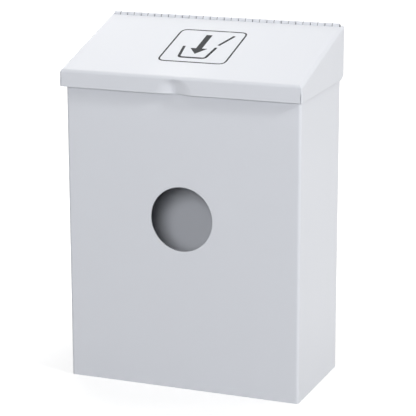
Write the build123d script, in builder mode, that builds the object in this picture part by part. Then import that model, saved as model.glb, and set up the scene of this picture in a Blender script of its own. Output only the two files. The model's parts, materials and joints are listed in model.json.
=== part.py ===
from build123d import *

import os
from math import asin, atan2, ceil, cos, degrees, radians, sin, sqrt, tan

# Wall-hung sanitary container: a hemmed sheet-steel box with a sight hole in its front and a sloping
# lid on a continuous hinge. Millimetres. X runs to the right seen from the front, Y from the front
# towards the wall, Z up; the origin is the middle of the overall footprint, at the base.

# Sheet metal
sheet = 0.8  # 22 gauge steel with its powder coat
wall_bend = 2.5  # outside radius of the bends between the walls
pan_bend = 1.8  # outside radius of the floor's turned-up edges
lid_bend = 3.0  # outside radius of the lid's folds
corner_dressing = 1.0  # radius that the lid's welded front corners are ground to
overrun = 2.0  # how far every cut runs past what it cuts

# Box
body_width = 203.2  # 8 in over the side walls
body_depth = 101.6  # 4 in from the front wall to the wall of the room
rim_height = 264.6
hem_depth = 8.0  # how far the folded edge reaches down inside the rim
hem_gap = 0.3  # air inside the flattened fold
corner_relief = 1.5  # plain edge between a hem and the bend beside it
rear_flange = 14.0
sight_hole_diameter = 54.0
sight_hole_height = 145.5

# Back panel and its wall screws
panel_inset = 1.6  # from the side wall to the panel's edge
panel_corner = 4.0
screw_hole_diameter = 5.6
screw_spacing_x = 127.0  # 5 in
screw_spacing_z = 177.8  # 7 in
screw_row_height = 50.8  # 2 in, lower row

# Floor
pan_flange = 12.0
pan_notch = 4.5  # square cut out of each corner before folding

# Lid
lid_slope = 17.1  # degrees
lip_overhang = 6.35  # lip face in front of the front wall
skirt_overhang = 2.6  # skirt face outside the side wall
lip_height = 13.8
skirt_rise = 1.5  # how much higher the skirt's lower edge ends at the wall than at the lip
lid_rest_gap = 0.3  # lid to the hemmed front rim, where it stops
skirt_wall_gap = 1.0  # skirt to the wall of the room
clip_depth = 6.0  # cut corner at the skirt's lower rear, along the depth
clip_height = 3.0
seam_width = 0.5  # open part of the welded corner
seam_height = 7.5
scallop_centre = -3.7  # pressed a little left of the middle
scallop_width = 34.0
scallop_height = 12.6
scallop_depth = 3.9
scallop_lead = 0.06  # how far outside the sheet the press tool starts, so that its outline is soft
scallop_root_share = 0.13  # of the width in the arc round the deepest line; the rest is in the feet
scallop_taper_share = 0.4  # of the width that is lost at the top
scallop_level_shares = (0.0, 0.35, 0.6, 0.8, 0.92, 1.0)  # heights of the sections that shape the tool

# Continuous hinge, as long as the body is wide
leaf_sheet = 1.0
leaf_width = 20.0
pin_diameter = 2.38  # 3/32 in
pin_clearance = 0.06  # radial, so that the knuckles turn
pin_recess = 0.4  # pin end inside the last knuckle
barrel_wall_gap = 0.1  # barrel to the wall of the room
knuckle_pitch = 12.7  # one body knuckle and one lid knuckle
knuckle_gap_wide = 0.9  # end play, nearly all to one side
knuckle_gap_narrow = 0.2
roll_angle = 285.0  # how far the sheet wraps round the pin
edge_setback = 0.35  # barrel to the edges that it turns past
hinge_end_gap = 0.6  # hinge to the lid's folds

# Places that follow
overall_depth = body_depth + lip_overhang
wall_y = overall_depth / 2
lip_y = -wall_y
front_y = wall_y - body_depth
slope = radians(lid_slope)

hem_radius = sheet + hem_gap / 2
wall_top = rim_height - hem_radius

pin_radius = pin_diameter / 2
bore_radius = pin_radius + pin_clearance
roll_radius = bore_radius + leaf_sheet / 2
barrel_radius = bore_radius + leaf_sheet

# The lid's underside passes through the hinge axis and stops just over the hem of the front wall.
axis_y = wall_y - barrel_wall_gap - barrel_radius
crest_y = front_y + hem_radius
axis_z = wall_top + (hem_radius + lid_rest_gap) / cos(slope) + (axis_y - crest_y) * tan(slope)


def lid_top_z(y):
    """Height of the lid's outer face at a depth y."""
    return axis_z + sheet / cos(slope) - (axis_y - y) * tan(slope)


lid_width = body_width + 2 * skirt_overhang
lip_bottom = lid_top_z(lip_y) - lip_height
skirt_rear_y = wall_y - skirt_wall_gap


def skirt_bottom_z(y):
    """Height of the skirts' lower edge at a depth y."""
    return lip_bottom + skirt_rise * (y - lip_y) / (skirt_rear_y - lip_y)


swage_start = barrel_radius + edge_setback
sheet_setback = swage_start + leaf_sheet / 2
panel_top = axis_z - sheet_setback

# X across, Y up the slope towards the hinge, Z out of the lid; its origin is on the hinge axis.
lid_plane = Plane(origin=(0, axis_y, axis_z), x_dir=(1, 0, 0), z_dir=(0, -sin(slope), cos(slope)))

# Both leaves are drawn with the axis at the origin, the leaf towards -X and the roll over +Y.
lid_leaf_plane = Plane(origin=(0, axis_y, axis_z), x_dir=(0, cos(slope), sin(slope)), z_dir=(1, 0, 0))
body_leaf_plane = Plane(origin=(0, axis_y, axis_z), x_dir=(0, 0, 1), z_dir=(-1, 0, 0))
half_hinge = body_width / 2
half_lid_leaf = lid_width / 2 - lid_bend - hinge_end_gap

knuckle_length = (knuckle_pitch - knuckle_gap_wide - knuckle_gap_narrow) / 2
notch_width = knuckle_pitch - knuckle_length
pair_starts = [pair * knuckle_pitch - half_hinge for pair in range(ceil(body_width / knuckle_pitch))]


def rolled_section(plane, leaf_offset):
    """Section of a leaf whose edge is swaged and rolled into a knuckle round the pin.

    The leaf's centre line lies leaf_offset from the axis. The swage is its tangent to the roll.
    """
    reach = sqrt(swage_start**2 + leaf_offset**2)
    swage_angle = atan2(-leaf_offset, swage_start) + asin(roll_radius / reach)
    roll_start = swage_angle + radians(90)
    with BuildSketch(plane) as section:
        with BuildLine():
            Polyline(
                (-leaf_width, leaf_offset),
                (-swage_start, leaf_offset),
                (roll_radius * cos(roll_start), roll_radius * sin(roll_start)),
            )
            CenterArc((0, 0), roll_radius, degrees(roll_start), -roll_angle)
        trace(line_width=leaf_sheet)
    return section.sketch


def knuckle_notches(plane, centres, edge):
    """Gaps that leave room for the other leaf's knuckles, from edge past the barrel."""
    reach = swage_start + barrel_radius + overrun
    with BuildSketch(plane) as notches:
        with Locations([(x, edge) for x in centres]):
            Rectangle(notch_width, reach, align=(Align.CENTER, Align.MIN))
    return notches.sketch


def hem_section(plane):
    """Fold of a hemmed edge. The origin is on the wall's outer face, X runs inwards, Y up."""
    fold_radius = (sheet + hem_gap) / 2
    inner_line = hem_radius + fold_radius
    with BuildSketch(plane) as section:
        with BuildLine():
            CenterArc((hem_radius, 0), fold_radius, 0, 180)
            Line((inner_line, 0), (inner_line, -(hem_depth - hem_radius)))
        trace(line_width=sheet)
    return section.sketch


def lid_wedge(inset, opening):
    """The lid's solid form, inset behind its faces and run past its open base and rear by opening."""
    front = lip_y + inset
    rear = skirt_rear_y + opening
    drop = inset / cos(slope)
    with BuildPart() as wedge:
        with BuildSketch(Plane.YZ):
            with BuildLine():
                Polyline(
                    (front, skirt_bottom_z(front) - opening),
                    (front, lid_top_z(front) - drop),
                    (rear, lid_top_z(rear) - drop),
                    (rear, skirt_bottom_z(rear) - opening),
                    close=True,
                )
            make_face()
        extrude(amount=lid_width / 2 - inset, both=True)
        top_plate = wedge.faces().sort_by(Axis.Z)[-1]
        fillet(top_plate.edges().sort_by(Axis.Y)[:-1], radius=lid_bend - inset)
        front_corners = wedge.edges().filter_by(Axis.Z).group_by(Axis.Y)[0]
        fillet(front_corners, radius=corner_dressing - inset)
    return wedge.part


def pressed_form(start, depth):
    """Sections of the press tool that makes the finger scallop, from a plane at a depth y = start.

    Each is a bell of three tangent arcs. Upwards they narrow and their depth fades into the lip.
    """
    forms = []
    for level in scallop_level_shares:
        fade = (1 - level**5) ** 2
        foot_x = (1 - scallop_taper_share * level**2) * scallop_width / 2
        knee_x = scallop_root_share * foot_x
        knee_y = (1 - scallop_root_share) * (fade * depth + scallop_lead / 2)
        with BuildSketch(Plane((scallop_centre, start, lip_bottom + level * scallop_height))) as form:
            with BuildLine():
                left_foot = TangentArc((-foot_x, 0), (-knee_x, knee_y), tangent=(1, 0))
                root = TangentArc(left_foot @ 1, (knee_x, knee_y), tangent=left_foot % 1)
                TangentArc(root @ 1, (foot_x, 0), tangent=root % 1)
                Line((foot_x, 0), (-foot_x, 0))
            make_face()
        forms.append(form.sketch.face())
    return forms


# Front and side walls: one sheet, folded at both front corners and turned in at the rear.
with BuildPart() as front_wrap:
    flange_y = wall_y - sheet
    flange_x = body_width / 2 - rear_flange
    with BuildSketch():
        with BuildLine():
            FilletPolyline(
                (-flange_x, flange_y),
                (-body_width / 2, flange_y),
                (-body_width / 2, front_y),
                (body_width / 2, front_y),
                (body_width / 2, flange_y),
                (flange_x, flange_y),
                radius=wall_bend,
            )
            offset(amount=sheet, side=Side.LEFT)
        make_face()
    extrude(amount=wall_top)

    front_hem = body_width - 2 * (wall_bend + corner_relief)
    side_hem = body_depth - sheet - 2 * (wall_bend + corner_relief)
    front_fold = Plane(origin=(-front_hem / 2, front_y, wall_top), x_dir=(0, 1, 0), z_dir=(1, 0, 0))
    side_fold = Plane(
        origin=(body_width / 2, front_y + wall_bend + corner_relief, wall_top),
        x_dir=(-1, 0, 0),
        z_dir=(0, 1, 0),
    )
    extrude(hem_section(front_fold), amount=front_hem)
    hemmed_side = extrude(hem_section(side_fold), amount=side_hem)
    mirror(hemmed_side, about=Plane.YZ)

    with BuildSketch(Plane.XZ.offset(-front_y - sheet - overrun)):
        with Locations((0, sight_hole_height)):
            Circle(sight_hole_diameter / 2)
    extrude(amount=sheet + 2 * overrun, mode=Mode.SUBTRACT)
front_wrap.part.label = "front_wrap"

# Back panel: lies on the rear flanges and rises to the hinge. Its outer face is the wall plane.
with BuildPart() as back_panel:
    with BuildSketch(Plane.XZ.offset(-wall_y)) as panel_face:
        Rectangle(body_width - 2 * panel_inset, panel_top, align=(Align.CENTER, Align.MIN))
        fillet(panel_face.vertices(), radius=panel_corner)
        with Locations((0, screw_row_height + screw_spacing_z / 2)):
            with GridLocations(screw_spacing_x, screw_spacing_z, 2, 2):
                Circle(screw_hole_diameter / 2, mode=Mode.SUBTRACT)
    extrude(amount=sheet)
back_panel.part.label = "back_panel"

# Floor: a shallow pan inside the walls, its four flanges turned up and spot-welded to them.
with BuildPart() as bottom_pan:
    pan_front_y = front_y + sheet
    pan_rear_y = wall_y - 2 * sheet
    pan_width = body_width - 2 * sheet
    pan_depth = pan_rear_y - pan_front_y
    pan_plane = Plane(origin=(0, (pan_front_y + pan_rear_y) / 2, 0))
    with BuildSketch(pan_plane):
        Rectangle(pan_width, pan_depth)
    extrude(amount=pan_flange)
    fillet(bottom_pan.faces().sort_by(Axis.Z)[0].edges(), radius=pan_bend)
    offset(amount=-sheet, openings=bottom_pan.faces().sort_by(Axis.Z)[-1])
    with BuildSketch(pan_plane.offset(-overrun)):
        with GridLocations(pan_width, pan_depth, 2, 2):
            Rectangle(2 * pan_notch, 2 * pan_notch)
    extrude(amount=pan_flange + 2 * overrun, mode=Mode.SUBTRACT)
bottom_pan.part.label = "bottom_pan"

# Lid: a wedge folded from one sheet, open below and behind.
lid_outside = lid_wedge(0, 0)
lid_inside = lid_wedge(sheet, overrun)
with BuildPart() as lid_shell:
    add(lid_outside)
    add(lid_inside, mode=Mode.SUBTRACT)

    # The plate stops short of the barrel, between the skirts.
    with BuildSketch(lid_plane):
        with Locations((0, -sheet_setback)):
            Rectangle(
                2 * (half_hinge + hinge_end_gap),
                sheet_setback + barrel_radius + overrun,
                align=(Align.CENTER, Align.MIN),
            )
    extrude(amount=lid_bend + overrun, both=True, mode=Mode.SUBTRACT)

    # Clipped lower rear corners of the skirts.
    clip_y = skirt_rear_y - clip_depth
    with BuildSketch(Plane.YZ):
        with BuildLine():
            Polyline(
                (clip_y, skirt_bottom_z(clip_y)),
                (skirt_rear_y, skirt_bottom_z(skirt_rear_y) + clip_height),
                (skirt_rear_y, lip_bottom - overrun),
                (clip_y, lip_bottom - overrun),
                close=True,
            )
        make_face()
    extrude(amount=lid_width / 2 + overrun, both=True, mode=Mode.SUBTRACT)

    # The lip butts against the skirts: welded above, an open slit below.
    with BuildSketch(Plane.XZ.offset(-lip_y - sheet - overrun)):
        with Locations((0, lip_bottom - overrun)):
            with GridLocations(lid_width - 2 * sheet - seam_width, 0, 2, 1):
                Rectangle(seam_width, seam_height + overrun, align=(Align.CENTER, Align.MIN))
    extrude(amount=sheet + 2 * overrun, mode=Mode.SUBTRACT)

    # Finger scallop: the sheet is pressed in, so it bulges behind as much as it is hollow in front.
    loft(pressed_form(lip_y + sheet / 2, scallop_depth + sheet / 2))
    loft(pressed_form(lip_y - scallop_lead, scallop_depth + scallop_lead), mode=Mode.SUBTRACT)
lid_shell.part.label = "lid_shell"

# Hinge leaves: interlocking knuckles, cut from the full-length roll.
with BuildPart() as hinge_leaf_lid:
    extrude(rolled_section(lid_leaf_plane, -leaf_sheet / 2), amount=half_lid_leaf, both=True)
    body_knuckles = [
        start + (knuckle_length + knuckle_gap_narrow - knuckle_gap_wide) / 2 for start in pair_starts
    ]
    extrude(
        knuckle_notches(lid_plane, body_knuckles, -swage_start),
        amount=barrel_radius + overrun,
        both=True,
        mode=Mode.SUBTRACT,
    )
hinge_leaf_lid.part.label = "hinge_leaf_lid"

with BuildPart() as hinge_leaf_body:
    leaf_back = barrel_radius + barrel_wall_gap - sheet
    extrude(rolled_section(body_leaf_plane, leaf_back - leaf_sheet / 2), amount=half_hinge, both=True)
    lid_knuckles = [start + knuckle_length + notch_width / 2 for start in pair_starts]
    extrude(
        knuckle_notches(Plane.XZ.offset(-axis_y), lid_knuckles, axis_z - swage_start),
        amount=barrel_radius + overrun,
        both=True,
        mode=Mode.SUBTRACT,
    )
hinge_leaf_body.part.label = "hinge_leaf_body"

with BuildPart() as hinge_pin:
    with BuildSketch(Plane(origin=(0, axis_y, axis_z), z_dir=(1, 0, 0))):
        Circle(pin_radius)
    extrude(amount=half_hinge - pin_recess, both=True)
hinge_pin.part.label = "hinge_pin"

os.makedirs("parts", exist_ok=True)
for piece in (
    front_wrap,
    back_panel,
    bottom_pan,
    lid_shell,
    hinge_leaf_lid,
    hinge_leaf_body,
    hinge_pin,
):
    export_step(piece.part, f"parts/{piece.part.label}.step")

print(f"hinge axis at y {axis_y:.3f}, z {axis_z:.3f}; lip from z {lip_bottom:.3f}")
print(f"lid fold z {lid_top_z(lip_y):.3f}; panel top z {panel_top:.3f}; wall plane y {wall_y:.3f}")
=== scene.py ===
import json
from math import cos, radians, sin

import bpy
import numpy as np
from mathutils import Matrix, Vector


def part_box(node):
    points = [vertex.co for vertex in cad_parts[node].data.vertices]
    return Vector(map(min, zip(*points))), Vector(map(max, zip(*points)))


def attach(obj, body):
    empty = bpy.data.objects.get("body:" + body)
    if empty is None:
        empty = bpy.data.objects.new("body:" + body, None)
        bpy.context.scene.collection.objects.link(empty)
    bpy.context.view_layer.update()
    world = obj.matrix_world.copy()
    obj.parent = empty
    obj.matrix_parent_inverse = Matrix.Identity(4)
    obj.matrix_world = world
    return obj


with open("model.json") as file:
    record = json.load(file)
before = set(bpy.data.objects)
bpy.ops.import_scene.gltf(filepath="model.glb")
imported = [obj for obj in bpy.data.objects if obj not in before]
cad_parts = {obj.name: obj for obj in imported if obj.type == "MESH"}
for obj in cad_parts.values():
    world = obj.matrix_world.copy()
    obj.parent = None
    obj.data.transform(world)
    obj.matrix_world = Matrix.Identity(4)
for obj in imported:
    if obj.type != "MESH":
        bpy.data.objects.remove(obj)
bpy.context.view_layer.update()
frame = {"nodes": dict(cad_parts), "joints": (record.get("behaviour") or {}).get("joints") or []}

bl_info = {
    "name": "Sanitary Container Finish",
    "version": (1, 0, 0),
    "blender": (4, 5, 0),
    "location": "View3D > Sidebar > Container",
    "description": "Powder coat, hinge steel, lid print and studio for a wall-hung sanitary container",
    "category": "Material",
}


def srgb(code):
    """Linear RGBA of an sRGB hex colour such as "E6E8EB"."""
    channels = [int(code[i:i + 2], 16) / 255 for i in (0, 2, 4)]
    linear = [c / 12.92 if c <= 0.04045 else ((c + 0.055) / 1.055) ** 2.4 for c in channels]
    return (*linear, 1.0)


# Places and sizes of the part that the looks follow, in metres.
WALLS_LOW, WALLS_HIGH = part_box("front_wrap")
LID_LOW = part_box("lid_shell")[0]
BACK_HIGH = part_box("back_panel")[1]
HINGE = Vector(frame["joints"][0]["pos_m"])
KNUCKLE_PITCH = 0.0127
FIRST_GAP = WALLS_LOW.x + 0.0059  # middle of the narrow gap after the hinge's first knuckle
BARREL_REACH = 1.1 * 0.00225  # from the hinge's axis: a tenth more than the barrel's radius
LID_SLOPE = radians(17.1)
SHEET = 0.0008
SCALLOP = (-0.0037, LID_LOW.y, LID_LOW.z + 0.005)  # middle of the finger scallop
FLANGE_MIDDLE = WALLS_HIGH.x - 0.0078  # line of the spot welds up the rear flanges
WELD_PITCH = 0.0508

# Sizes of the finishes' patterns, in metres.
COAT_DRIFT = 0.11  # a hand's width
COAT_GRAIN = 0.0009  # 0.2 mm on the real coat, drawn coarser so that it shows
GRAIN_HEIGHT = 0.00003
PEEL_HEIGHT = 0.00006
EDGE_ROUNDING = 0.0003  # of the coat over a cut edge
POLISH_FULL, POLISH_NONE = 0.008, 0.045  # from the middle of the scallop
WELD_FLOOR, WELD_RIM = 0.0015, 0.0028  # radii of a dimple
WELD_DEPTH = 0.00015
RUB_FULL, RUB_NONE = 0.0002, 0.0004  # from the middle of a gap
WIRE_LINE, WIRE_LINE_LENGTH = 0.00015, 0.02  # a die line's width and length
WIRE_LINE_HEIGHT = 0.00001
INK_MARK = 0.0006  # 0.1 mm on the real print, drawn coarser so that it shows
INK_ROOT = 0.00002  # of the film in the coat, so that no air shows under it

# How much the finishes vary.
COAT_TONE_SPREAD = 0.015
COAT_ROUGHNESS_SPREAD = 0.03
WIRE_ROUGHNESS_SPREAD = 0.08
POLISH = -0.08  # roughness that fingers take away
INK_LIGHTEST = 1.25  # times the ink's colour, where the film is thin

# Pictogram, in millimetres about its middle: across, and up the lid's slope.
MM = 0.001
BORDER = [(-29, -29), (29, -29), (29, 29), (-29, 29)]
BORDER_CORNER, BORDER_LINE = 6.0, 1.5
OPEN_BOX = [(-16, -1), (-13.5, -21), (9.5, -21), (12, -1)]
BOX_CORNER, BOX_LINE = 3.0, 2.4
FLAP = [(12.4, 3.2), (20.0, 21.5)]
ARROW = [(-2, -14), (5.5, -4), (0.6, -4), (0.6, 21), (-4.6, 21), (-4.6, -4), (-9.5, -4)]

STEEL_GREY = "8C8D90"
PURE_WHITE = "FFFFFF"
COOL_WHITE = "F9FBFF"
FLOOR_GREY = "B8B8B8"

# Studio, in metres. Each lamp has its place, width, height and colour, and its power is a setting.
LAMP_AIM = (0.0, 0.0, 0.15)
LAMPS = {
    "top": ((0.0, 0.35, 1.6), 1.6, 1.2, PURE_WHITE),
    "front": ((0.84, -2.743, 1.027), 0.45, 0.45, COOL_WHITE),
    "right": ((2.51, -0.672, 1.65), 0.3, 0.3, PURE_WHITE),
    "side": ((2.555, 0.93, 1.418), 0.5, 0.5, PURE_WHITE),
    "left": ((-0.289, -0.501, 0.839), 0.3, 0.3, PURE_WHITE),
    "rear": ((-1.147, 1.836, 1.4), 1.4, 1.4, PURE_WHITE),
}
FLOOR_HALF = 4.0
LIFT_NEAR, LIFT_FAR = 0.08, 0.26  # where the floor's lift to white starts and is full
LIFT_AT_PART = 0.64  # low enough that the part's shadow shows
SENSOR = 36.0  # in millimetres
CLIP_NEAR, CLIP_FAR = 0.05, 50.0


# Materials


def new_material(name):
    """Empty node material and its tree."""
    material = bpy.data.materials.new(name)
    material.use_nodes = True
    material.node_tree.nodes.clear()
    return material, material.node_tree


def node(tree, kind, settings=None, **inputs):
    """Adds a node. Settings are its attributes, and an input is a socket to link or a plain value.

    An input goes by its socket's name, with _ for a space, or by _ and its number.
    """
    made = tree.nodes.new(kind)
    for name, value in (settings or {}).items():
        setattr(made, name, value)
    for name, value in inputs.items():
        key = int(name[1:]) if name[1:].isdigit() else name.replace("_", " ")
        socket = made.inputs[key]
        if isinstance(value, bpy.types.NodeSocket):
            tree.links.new(value, socket)
        else:
            socket.default_value = value
    return made


def handled_polish(tree, place):
    """How much smoother fingers have rubbed the coat round the scallop: a negative roughness."""
    reach = node(tree, "ShaderNodeVectorMath", {"operation": "DISTANCE"}, _0=place, _1=SCALLOP)
    return node(tree, "ShaderNodeMapRange", {"interpolation_type": "SMOOTHSTEP"},
                Value=reach.outputs["Value"], From_Min=POLISH_FULL, From_Max=POLISH_NONE,
                To_Min=POLISH, To_Max=0.0).outputs["Result"]


def weld_dimples(tree, place):
    """Height of the spot welds' shallow dimples, which the coat doesn't quite hide.

    They are 5 mm across and stand in a row up each rear flange, on the back only: the distance to the
    nearest one comes from the mirrored X and the folded Z.
    """
    spot = node(tree, "ShaderNodeSeparateXYZ", Vector=place)
    mirrored = node(tree, "ShaderNodeMath", {"operation": "ABSOLUTE"}, _0=spot.outputs["X"])
    across = node(tree, "ShaderNodeMath", {"operation": "SUBTRACT"}, _0=mirrored.outputs[0],
                  _1=FLANGE_MIDDLE)
    folded = node(tree, "ShaderNodeMath", {"operation": "PINGPONG"}, _0=spot.outputs["Z"],
                  _1=WELD_PITCH / 2)
    up = node(tree, "ShaderNodeMath", {"operation": "SUBTRACT"}, _0=folded.outputs[0],
              _1=WELD_PITCH / 4)
    offset = node(tree, "ShaderNodeCombineXYZ", X=across.outputs[0], Y=up.outputs[0])
    reach = node(tree, "ShaderNodeVectorMath", {"operation": "LENGTH"}, _0=offset.outputs["Vector"])
    dimple = node(tree, "ShaderNodeMapRange", {"interpolation_type": "SMOOTHSTEP"},
                  Value=reach.outputs["Value"], From_Min=WELD_FLOOR, From_Max=WELD_RIM,
                  To_Min=0.0, To_Max=1.0)
    inside = node(tree, "ShaderNodeMath", {"operation": "LESS_THAN"}, _0=spot.outputs["Y"],
                  _1=BACK_HIGH.y - SHEET / 2)
    return node(tree, "ShaderNodeMath", {"operation": "MAXIMUM"}, _0=dimple.outputs["Result"],
                _1=inside.outputs[0]).outputs[0]


def knuckle_rub(tree, place):
    """How far the coat is rubbed off, from 0 to 1: thin rings where the knuckles bear on each other.

    They bear at the narrow gaps, a pitch apart, so a folded X gives the distance to the nearest one.
    Only the barrel wears, which is what lies within its radius of the hinge axis.
    """
    from_axis = node(tree, "ShaderNodeVectorMath", {"operation": "SUBTRACT"}, _0=place,
                     _1=(FIRST_GAP, HINGE.y, HINGE.z))
    spot = node(tree, "ShaderNodeSeparateXYZ", Vector=from_axis.outputs["Vector"])
    to_gap = node(tree, "ShaderNodeMath", {"operation": "PINGPONG"}, _0=spot.outputs["X"],
                  _1=KNUCKLE_PITCH / 2)
    ring = node(tree, "ShaderNodeMapRange", {"interpolation_type": "SMOOTHSTEP"},
                Value=to_gap.outputs[0], From_Min=RUB_FULL, From_Max=RUB_NONE, To_Min=1.0, To_Max=0.0)
    flat = node(tree, "ShaderNodeCombineXYZ", X=spot.outputs["Y"], Y=spot.outputs["Z"])
    reach = node(tree, "ShaderNodeVectorMath", {"operation": "LENGTH"}, _0=flat.outputs["Vector"])
    barrel = node(tree, "ShaderNodeMath", {"operation": "LESS_THAN"}, _0=reach.outputs["Value"],
                  _1=BARREL_REACH)
    return node(tree, "ShaderNodeMath", {"operation": "MULTIPLY"}, _0=ring.outputs["Result"],
                _1=barrel.outputs[0]).outputs[0]


def powder_coat(name, settings, handled=False, welded=False, rubbed=False):
    """Semi-gloss polyester powder coat, sprayed dry and baked on steel.

    Baking leaves orange peel: low, soft waves a few millimetres across, which break up reflections
    but don't show as colour, and a fine grain of the powder. The film's thickness drifts over a
    hand's width, so its tone and gloss do too, and it rounds over every cut edge, which catches a
    thin line of light.
    """
    material, tree = new_material(name)
    place = node(tree, "ShaderNodeTexCoord").outputs["Object"]
    drift = node(tree, "ShaderNodeTexNoise", Vector=place, Scale=1 / COAT_DRIFT, Detail=2.0,
                 Roughness=0.45)
    peel = node(tree, "ShaderNodeTexNoise", Vector=place, Scale=1 / settings.peel, Detail=1.0,
                Roughness=0.4)
    grain = node(tree, "ShaderNodeTexNoise", Vector=place, Scale=1 / COAT_GRAIN, Detail=2.0,
                 Roughness=0.6)
    thin = (*(c * (1 - COAT_TONE_SPREAD) for c in settings.colour), 1.0)
    full = (*(min(1.0, c * (1 + COAT_TONE_SPREAD)) for c in settings.colour), 1.0)
    tone = node(tree, "ShaderNodeMix", {"data_type": "RGBA"}, _0=drift.outputs["Fac"], _6=thin,
                _7=full).outputs[2]
    rough = node(tree, "ShaderNodeMapRange", Value=drift.outputs["Fac"], From_Min=0.3, From_Max=0.7,
                 To_Min=settings.roughness - COAT_ROUGHNESS_SPREAD,
                 To_Max=settings.roughness + COAT_ROUGHNESS_SPREAD).outputs["Result"]
    if handled:
        rough = node(tree, "ShaderNodeMath", {"operation": "ADD"}, _0=rough,
                     _1=handled_polish(tree, place)).outputs[0]
    rounded = node(tree, "ShaderNodeBevel", {"samples": 4}, Radius=EDGE_ROUNDING)
    fine = node(tree, "ShaderNodeBump", Height=grain.outputs["Fac"], Strength=0.12,
                Distance=GRAIN_HEIGHT, Normal=rounded.outputs["Normal"])
    waves = node(tree, "ShaderNodeBump", Height=peel.outputs["Fac"], Strength=0.5,
                 Distance=PEEL_HEIGHT, Normal=fine.outputs["Normal"])
    normal = waves.outputs["Normal"]
    if welded:
        normal = node(tree, "ShaderNodeBump", Height=weld_dimples(tree, place), Strength=0.6,
                      Distance=WELD_DEPTH, Normal=normal).outputs["Normal"]
    coat = node(tree, "ShaderNodeBsdfPrincipled", Normal=normal, Roughness=rough, IOR=1.5)
    if rubbed:
        # Bare steel, dull and grey, where the knuckles rub.
        worn = knuckle_rub(tree, place)
        tone = node(tree, "ShaderNodeMix", {"data_type": "RGBA"}, _0=worn, _6=tone,
                    _7=srgb(STEEL_GREY)).outputs[2]
        tree.links.new(worn, coat.inputs["Metallic"])
    tree.links.new(tone, coat.inputs["Base Color"])
    node(tree, "ShaderNodeOutputMaterial", Surface=coat.outputs["BSDF"])
    return material


def drawn_wire(name, settings):
    """Cold-drawn steel wire for the hinge pin: bright metal with fine lines along its length."""
    material, tree = new_material(name)
    place = node(tree, "ShaderNodeTexCoord").outputs["Object"]
    stretched = node(tree, "ShaderNodeMapping", Vector=place,
                     Scale=(1 / WIRE_LINE_LENGTH, 1 / WIRE_LINE, 1 / WIRE_LINE))
    lines = node(tree, "ShaderNodeTexNoise", Vector=stretched.outputs["Vector"], Scale=1.0, Detail=2.0)
    spread = node(tree, "ShaderNodeMapRange", Value=lines.outputs["Fac"],
                  To_Min=settings.roughness - WIRE_ROUGHNESS_SPREAD,
                  To_Max=settings.roughness + WIRE_ROUGHNESS_SPREAD)
    ridges = node(tree, "ShaderNodeBump", Height=lines.outputs["Fac"], Strength=0.3,
                  Distance=WIRE_LINE_HEIGHT)
    steel = node(tree, "ShaderNodeBsdfPrincipled", Base_Color=(*settings.colour, 1.0), Metallic=1.0,
                 Roughness=spread.outputs["Result"], Normal=ridges.outputs["Normal"])
    node(tree, "ShaderNodeOutputMaterial", Surface=steel.outputs["BSDF"])
    return material


def screen_ink(name, settings):
    """Epoxy screen-printing ink: a matt dark film that the mesh leaves a little uneven in tone."""
    material, tree = new_material(name)
    place = node(tree, "ShaderNodeTexCoord").outputs["Object"]
    mesh_marks = node(tree, "ShaderNodeTexNoise", Vector=place, Scale=1 / INK_MARK, Detail=2.0,
                      Roughness=0.5)
    tone = node(tree, "ShaderNodeMix", {"data_type": "RGBA"}, _0=mesh_marks.outputs["Fac"],
                _6=(*settings.colour, 1.0), _7=(*(c * INK_LIGHTEST for c in settings.colour), 1.0))
    rough = node(tree, "ShaderNodeMapRange", Value=mesh_marks.outputs["Fac"], To_Min=0.55, To_Max=0.75)
    ink = node(tree, "ShaderNodeBsdfPrincipled", Base_Color=tone.outputs[2],
               Roughness=rough.outputs["Result"], IOR=1.5, Specular_IOR_Level=0.3)
    node(tree, "ShaderNodeOutputMaterial", Surface=ink.outputs["BSDF"])
    return material


def coat_node(name, material):
    """Gives a CAD node its finish."""
    slots = frame["nodes"][name].data.materials
    slots.clear()
    slots.append(material)


# Print


def turned_left(vectors):
    """Each plane vector turned a quarter turn anticlockwise."""
    return np.stack([-vectors[:, 1], vectors[:, 0]], 1)


def unit(vectors):
    """Each vector over its length."""
    return vectors / np.linalg.norm(vectors, axis=1, keepdims=True)


def inked_line(path, width, closed):
    """Flat bar carried along a plane path, as its section's four corners at every point.

    A corner is the point plus or minus half the width along the mitred normal, which is the mean of the
    two runs' normals, lengthened by 1 over its cosine with either; its height is 0 or 1.
    """
    before, after = np.roll(path, 1, 0), np.roll(path, -1, 0)
    if not closed:
        before[0], after[-1] = 2 * path[0] - path[1], 2 * path[-1] - path[-2]
    ahead = turned_left(unit(after - path))
    mitre = unit(ahead + turned_left(unit(path - before)))
    side = mitre * (width / 2 / np.sum(mitre * ahead, 1, keepdims=True))
    left, right = path + side, path - side
    low, high = np.zeros((len(path), 1)), np.ones((len(path), 1))
    section = ((left, low), (right, low), (right, high), (left, high))
    corners = np.stack([np.hstack(corner) for corner in section], 1)
    row = np.arange(len(path) if closed else len(path) - 1)[:, None] * 4
    here, along = row + np.arange(4), row + np.roll(np.arange(4), -1)
    total = 4 * len(path)
    quads = np.stack([here, (here + 4) % total, (along + 4) % total, along], 2).reshape(-1, 4)
    if not closed:
        quads = np.vstack([quads, [[0, 1, 2, 3]], [[total - 1, total - 2, total - 3, total - 4]]])
    return corners.reshape(-1, 3), quads.tolist()


def inked_patch(outline):
    """Solid area inside a plane outline, run anticlockwise: its top, its underside and its rim."""
    count = len(outline)
    low, high = np.zeros((count, 1)), np.ones((count, 1))
    points = np.vstack([np.hstack([outline, low]), np.hstack([outline, high])])
    ring = np.arange(count)
    rim = np.stack([ring, np.roll(ring, -1), np.roll(ring, -1) + count, ring + count], 1)
    return points, [(ring + count).tolist(), ring[::-1].tolist(), *rim.tolist()]


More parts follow.
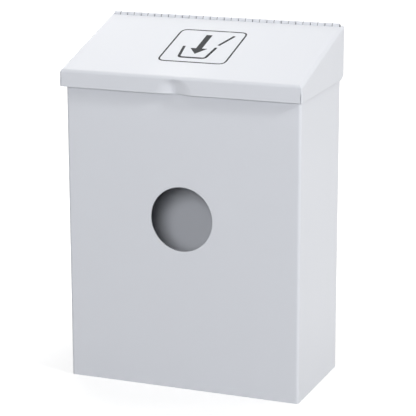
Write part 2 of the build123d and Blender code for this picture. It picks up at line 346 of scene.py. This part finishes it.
def rounded_corners(corners, radius, closed, steps=7):
    """Path with rounded corners: at each, a quadratic curve from radius before it to radius after."""
    corners = np.array(corners, float)
    t = np.linspace(0, 1, steps)[None, :, None]
    start = corners - radius * unit(corners - np.roll(corners, 1, 0))
    end = corners + radius * unit(np.roll(corners, -1, 0) - corners)
    bends = (1 - t) ** 2 * start[:, None] + 2 * t * (1 - t) * corners[:, None] + t ** 2 * end[:, None]
    if closed:
        return bends.reshape(-1, 2)
    return np.vstack([corners[:1], bends[1:-1].reshape(-1, 2), corners[-1:]])


def on_lid(points, film):
    """Points on the lid's sloping plate, from (across, up the slope from the fold, height in films).

    A point is the fold's middle plus its three values along the fold, the slope and the plate's
    normal. The fold is where the plate's top face, a sheet above the hinge's axis, comes to the lid's
    front.
    """
    along = Vector((0.0, cos(LID_SLOPE), sin(LID_SLOPE)))
    out = Vector((0.0, -sin(LID_SLOPE), cos(LID_SLOPE)))
    crest = HINGE + SHEET * out
    fold = crest + along * ((LID_LOW.y - crest.y) / cos(LID_SLOPE))
    turn = np.array([(1, 0, 0), tuple(along), tuple(out)])
    scaled = points * np.array([MM, MM, film])
    scaled[:, 2] -= np.where(points[:, 2] > 0.5, 0.0, INK_ROOT)
    return scaled @ turn + np.array(fold)


# Settings


class CoatSettings(bpy.types.PropertyGroup):
    """Powder coat on the folded sheets and the hinge."""

    colour: bpy.props.FloatVectorProperty(
        name="Colour", description="Cool white of the coat", subtype="COLOR", size=3, min=0.0, max=1.0,
        default=srgb("EDEFF4")[:3])
    roughness: bpy.props.FloatProperty(
        name="Roughness", description="0.4 is semi-gloss", default=0.42, min=0.0, max=1.0,
        subtype="FACTOR")
    peel: bpy.props.FloatProperty(
        name="Orange Peel", description="Width of the coat's soft waves", default=0.0032, min=0.001,
        unit="LENGTH")


class PinSettings(bpy.types.PropertyGroup):
    """Bare steel of the hinge pin."""

    colour: bpy.props.FloatVectorProperty(
        name="Colour", description="Grey of the drawn steel", subtype="COLOR", size=3, min=0.0, max=1.0,
        default=srgb(STEEL_GREY)[:3])
    roughness: bpy.props.FloatProperty(
        name="Roughness", description="Drawn wire is about 0.3", default=0.32, min=0.0, max=1.0,
        subtype="FACTOR")


class PrintSettings(bpy.types.PropertyGroup):
    """Pictogram on the lid."""

    colour: bpy.props.FloatVectorProperty(
        name="Colour", description="Charcoal of the ink", subtype="COLOR", size=3, min=0.0, max=1.0,
        default=srgb("17191D")[:3])
    film: bpy.props.FloatProperty(
        name="Film", description="Height of the ink over the coat", default=0.00003, min=0.00001,
        unit="LENGTH")
    place: bpy.props.FloatVectorProperty(
        name="Place", description="Middle of the pictogram: across, and up the slope from the lid's fold",
        default=(0.0, 0.057), size=2, unit="LENGTH")


class StudioSettings(bpy.types.PropertyGroup):
    """Camera, lamps and room."""

    azimuth: bpy.props.FloatProperty(
        name="Camera Azimuth", description="Round from the front towards the right side",
        default=radians(21.6485), subtype="ANGLE")
    elevation: bpy.props.FloatProperty(
        name="Camera Elevation", description="Above the horizon", default=radians(14.3956),
        subtype="ANGLE")
    roll: bpy.props.FloatProperty(
        name="Camera Roll", description="Turn about the line of sight", default=radians(-0.1225),
        subtype="ANGLE")
    distance: bpy.props.FloatProperty(
        name="Camera Distance", description="From the camera to its target", default=1.52406,
        unit="LENGTH")
    target: bpy.props.FloatVectorProperty(
        name="Target", description="Point in the middle of the picture",
        default=(0.002613, 0.004273, 0.143116), size=3, unit="LENGTH")
    lens: bpy.props.FloatProperty(
        name="Lens", description="Focal length on a 36 mm sensor", default=157.30, unit="CAMERA")
    ambient: bpy.props.FloatProperty(
        name="Ambient", description="Strength of the white room's light", default=0.1, min=0.0)
    top: bpy.props.FloatProperty(
        name="Top Lamp", description="Large panel overhead, a little behind", default=4.9, min=0.0,
        unit="POWER")
    front: bpy.props.FloatProperty(
        name="Front Lamp", description="Panel behind the camera, a little above it", default=33.8,
        min=0.0, unit="POWER")
    right: bpy.props.FloatProperty(
        name="Right Lamp", description="Panel far to the right", default=29.0, min=0.0, unit="POWER")
    side: bpy.props.FloatProperty(
        name="Side Lamp", description="Panel to the right, a little behind, which misses the front",
        default=11.5, min=0.0, unit="POWER")
    left: bpy.props.FloatProperty(
        name="Left Lamp", description="Near panel at the front left, which draws the lid's shadow",
        default=0.65, min=0.0, unit="POWER")
    rear: bpy.props.FloatProperty(
        name="Rear Lamp", description="Large panel behind at the left, which fills the back",
        default=15.0, min=0.0, unit="POWER")


# Operators


class CONTAINER_OT_coat_box(bpy.types.Operator):
    """Powder coat on the folded front and sides, the back panel and the floor pan"""

    bl_idname = "container.coat_box"
    bl_label = "Coat the Box"

    def execute(self, context):
        coat = context.scene.container_coat
        plain = powder_coat("powder_coat_box", coat)
        coat_node("front_wrap", plain)
        coat_node("bottom_pan", plain)
        coat_node("back_panel", powder_coat("powder_coat_back", coat, welded=True))
        return {"FINISHED"}


class CONTAINER_OT_coat_lid(bpy.types.Operator):
    """Powder coat on the lid, polished where fingers lift it"""

    bl_idname = "container.coat_lid"
    bl_label = "Coat the Lid"

    def execute(self, context):
        coat_node("lid_shell", powder_coat("powder_coat_lid", context.scene.container_coat, handled=True))
        return {"FINISHED"}


class CONTAINER_OT_coat_hinge(bpy.types.Operator):
    """Powder coat on both hinge leaves, rubbed through where knuckle meets knuckle"""

    bl_idname = "container.coat_hinge"
    bl_label = "Coat the Hinge"

    def execute(self, context):
        material = powder_coat("powder_coat_hinge", context.scene.container_coat, rubbed=True)
        for name in ("hinge_leaf_lid", "hinge_leaf_body"):
            coat_node(name, material)
        return {"FINISHED"}


class CONTAINER_OT_finish_pin(bpy.types.Operator):
    """Drawn steel wire for the hinge pin"""

    bl_idname = "container.finish_pin"
    bl_label = "Finish the Pin"

    def execute(self, context):
        coat_node("hinge_pin", drawn_wire("drawn_steel_wire", context.scene.container_pin))
        return {"FINISHED"}


class CONTAINER_OT_print_lid(bpy.types.Operator):
    """Pictogram on the lid: an open box and an arrow into it, in a rounded frame"""

    bl_idname = "container.print_lid"
    bl_label = "Print the Lid"

    def execute(self, context):
        ink = context.scene.container_print
        shapes = [
            inked_line(rounded_corners(BORDER, BORDER_CORNER, True), BORDER_LINE, True),
            inked_line(rounded_corners(OPEN_BOX, BOX_CORNER, False), BOX_LINE, False),
            inked_line(np.array(FLAP), BOX_LINE, False),
            inked_patch(np.array(ARROW, float)),
        ]
        points, faces, count = [], [], 0
        for corners, sides in shapes:
            points.append(corners)
            faces += [[count + corner for corner in side] for side in sides]
            count += len(corners)
        drawn = np.vstack(points) + np.array([ink.place[0] / MM, ink.place[1] / MM, 0.0])
        mesh = bpy.data.meshes.new("lid_print")
        mesh.from_pydata(on_lid(drawn, ink.film).tolist(), [], faces)
        mesh.materials.append(screen_ink("screen_printing_ink", ink))
        piece = bpy.data.objects.new("lid_print", mesh)
        context.scene.collection.objects.link(piece)
        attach(piece, "lid")
        return {"FINISHED"}


def area_lamp(name, place, width, height, colour, watts):
    """Soft rectangular panel that faces the middle of the part."""
    lamp = bpy.data.lights.new(name, "AREA")
    lamp.color = srgb(colour)[:3]
    lamp.shape = "RECTANGLE"
    lamp.size, lamp.size_y = width, height
    lamp.energy = watts
    panel = bpy.data.objects.new(name, lamp)
    panel.location = place
    panel.rotation_mode = "QUATERNION"
    panel.rotation_quaternion = (Vector(LAMP_AIM) - Vector(place)).to_track_quat("-Z", "Y")
    bpy.context.scene.collection.objects.link(panel)


def seen_rays(tree):
    """1 for rays that show a surface to the eye, straight, by reflection or through glass, else 0."""
    rays = node(tree, "ShaderNodeLightPath").outputs
    seen = node(tree, "ShaderNodeMath", {"operation": "MAXIMUM"}, _0=rays["Is Camera Ray"],
                _1=rays["Is Glossy Ray"])
    return node(tree, "ShaderNodeMath", {"operation": "MAXIMUM"}, _0=seen.outputs[0],
                _1=rays["Is Transmission Ray"]).outputs[0]


class CONTAINER_OT_set_stage(bpy.types.Operator):
    """White floor, soft panels, white room and the camera"""

    bl_idname = "container.set_stage"
    bl_label = "Set the Stage"

    def execute(self, context):
        studio = context.scene.container_studio
        self.lay_floor()
        self.light_room(studio)
        for name, panel in LAMPS.items():
            area_lamp(f"lamp_{name}", *panel, getattr(studio, name))
        self.place_camera(context, studio)
        return {"FINISHED"}

    def lay_floor(self):
        """Square floor in matt paint: an even pale grey without shine, which is seen as white.

        What is seen is lifted to white: fully further out, and near the part so far that shadow shows.
        """
        mesh = bpy.data.meshes.new("floor")
        corners = [(x * FLOOR_HALF, y * FLOOR_HALF, 0) for x, y in ((-1, -1), (1, -1), (1, 1), (-1, 1))]
        mesh.from_pydata(corners, [], [(0, 1, 2, 3)])
        floor = bpy.data.objects.new("floor", mesh)
        bpy.context.scene.collection.objects.link(floor)
        material, tree = new_material("matt_floor_paint")
        paint = node(tree, "ShaderNodeBsdfDiffuse", Color=srgb(FLOOR_GREY))
        place = node(tree, "ShaderNodeTexCoord").outputs["Object"]
        reach = node(tree, "ShaderNodeVectorMath", {"operation": "LENGTH"}, _0=place)
        spread = node(tree, "ShaderNodeMapRange", {"interpolation_type": "SMOOTHSTEP"},
                      Value=reach.outputs["Value"], From_Min=LIFT_NEAR, From_Max=LIFT_FAR,
                      To_Min=LIFT_AT_PART, To_Max=1.0)
        lift = node(tree, "ShaderNodeMath", {"operation": "MULTIPLY"}, _0=seen_rays(tree),
                    _1=spread.outputs["Result"])
        glow = node(tree, "ShaderNodeEmission", Strength=lift.outputs[0])
        both = node(tree, "ShaderNodeAddShader", _0=paint.outputs[0], _1=glow.outputs[0])
        node(tree, "ShaderNodeOutputMaterial", Surface=both.outputs[0])
        mesh.materials.append(material)

    def light_room(self, studio):
        """White room: full white where it is seen, the ambient strength where it only lights."""
        world = bpy.data.worlds.new("white_room")
        world.use_nodes = True
        tree = world.node_tree
        tree.nodes.clear()
        strength = node(tree, "ShaderNodeMix", _0=seen_rays(tree), _2=studio.ambient, _3=1.0)
        room = node(tree, "ShaderNodeBackground", Color=(1.0, 1.0, 1.0, 1.0),
                    Strength=strength.outputs[0])
        node(tree, "ShaderNodeOutputWorld", Surface=room.outputs[0])
        bpy.context.scene.world = world

    def place_camera(self, context, studio):
        """Camera on a sphere round its target, looking at it, then rolled."""
        a, e, r = studio.azimuth, studio.elevation, studio.roll
        back = Vector((sin(a) * cos(e), -cos(a) * cos(e), sin(e)))
        level = Vector((cos(a), sin(a), 0.0))
        rise = back.cross(level)
        across = cos(r) * level + sin(r) * rise
        up = cos(r) * rise - sin(r) * level
        lens = bpy.data.cameras.new("camera")
        lens.lens, lens.sensor_width, lens.sensor_fit = studio.lens, SENSOR, "HORIZONTAL"
        lens.clip_start, lens.clip_end = CLIP_NEAR, CLIP_FAR
        camera = bpy.data.objects.new("camera", lens)
        stand = Vector(studio.target) + studio.distance * back
        camera.matrix_world = Matrix.Translation(stand) @ Matrix((across, up, back)).transposed().to_4x4()
        context.scene.collection.objects.link(camera)
        context.scene.camera = camera
        context.scene.view_settings.view_transform = "Standard"


class CONTAINER_PT_panel(bpy.types.Panel):
    """Lists the finishing steps"""

    bl_idname = "CONTAINER_PT_panel"
    bl_label = "Sanitary Container"
    bl_space_type = "VIEW_3D"
    bl_region_type = "UI"
    bl_category = "Container"

    def draw(self, context):
        for group, steps in PANEL_ROWS:
            box = self.layout.box()
            settings = getattr(context.scene, group)
            for name in settings.__annotations__:
                box.prop(settings, name)
            for step in steps:
                box.operator(step.bl_idname)


SETTINGS = {
    "container_coat": CoatSettings,
    "container_pin": PinSettings,
    "container_print": PrintSettings,
    "container_studio": StudioSettings,
}
PANEL_ROWS = (
    ("container_coat", (CONTAINER_OT_coat_box, CONTAINER_OT_coat_lid, CONTAINER_OT_coat_hinge)),
    ("container_pin", (CONTAINER_OT_finish_pin,)),
    ("container_print", (CONTAINER_OT_print_lid,)),
    ("container_studio", (CONTAINER_OT_set_stage,)),
)
STEPS = [step for _, steps in PANEL_ROWS for step in steps]


def register():
    for group in SETTINGS.values():
        bpy.utils.register_class(group)
    for name, group in SETTINGS.items():
        setattr(bpy.types.Scene, name, bpy.props.PointerProperty(type=group))
    for step in STEPS:
        bpy.utils.register_class(step)
    bpy.utils.register_class(CONTAINER_PT_panel)


def unregister():
    bpy.utils.unregister_class(CONTAINER_PT_panel)
    for step in reversed(STEPS):
        bpy.utils.unregister_class(step)
    for name in SETTINGS:
        delattr(bpy.types.Scene, name)
    for group in SETTINGS.values():
        bpy.utils.unregister_class(group)


def main():
    register()
    for step in STEPS:
        group, name = step.bl_idname.split(".")
        getattr(getattr(bpy.ops, group), name)()


if __name__ == "__main__":
    main()
